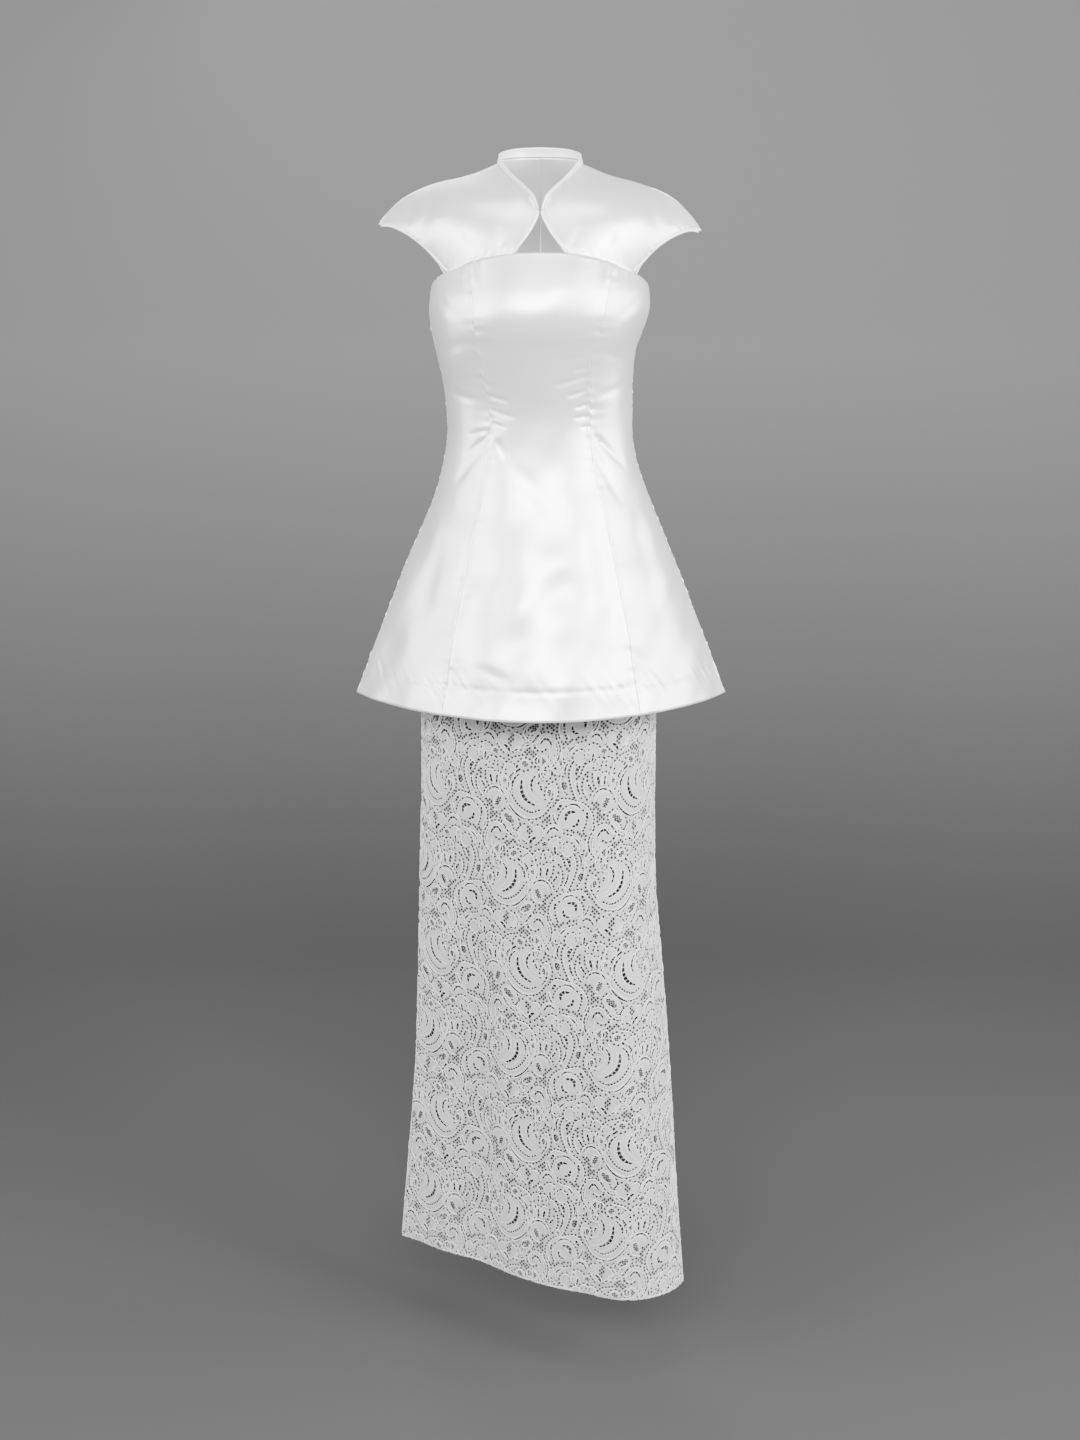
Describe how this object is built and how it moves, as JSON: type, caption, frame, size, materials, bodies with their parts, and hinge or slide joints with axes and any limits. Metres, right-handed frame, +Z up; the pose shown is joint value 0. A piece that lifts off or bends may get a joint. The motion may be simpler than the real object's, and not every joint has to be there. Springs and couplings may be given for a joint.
{
  "type": "top and skirt set",
  "caption": "Satin top with keyhole, cap-sleeved yoke, princess seams and flared hem over a long lined lace skirt, hollow as worn",
  "frame": {"origin": "between the shoulders at the base of the neck, 1.45 m above the floor the wearer stands on", "axes": "+Z up, -Y the way the wearer faces, +X the wearer's left"},
  "size_m": [0.4478, 0.3024, 1.3933],
  "materials": {
    "satin": "smooth near-white satin, soft sheen",
    "satin_trim": "satin bias binding, soft sheen",
    "lining": "plain matt lining",
    "lace": "matt corded lace"
  },
  "bodies": {
    "root": {"top_front_centre": "satin", "top_front_side_left": "satin", "top_front_side_right": "satin", "top_back_side_left": "satin", "top_back_side_right": "satin", "top_back_centre_left": "satin", "top_back_centre_right": "satin", "yoke_front_left": "satin", "yoke_front_right": "satin", "yoke_back_left": "satin", "yoke_back_right": "satin", "collar_band": "satin_trim", "binding_keyhole_left": "satin_trim", "binding_keyhole_right": "satin_trim", "binding_armhole_left": "satin_trim", "binding_armhole_right": "satin_trim", "skirt_waistband": "satin_trim", "skirt_lining_front_upper": "lining", "skirt_lining_front_middle": "lining", "skirt_lining_front_lower": "lining", "skirt_lining_back_upper": "lining", "skirt_lining_back_middle": "lining", "skirt_lining_back_lower": "lining", "skirt_lace_front": "lace", "skirt_lace_back": "lace"}
  },
  "joints": []
}
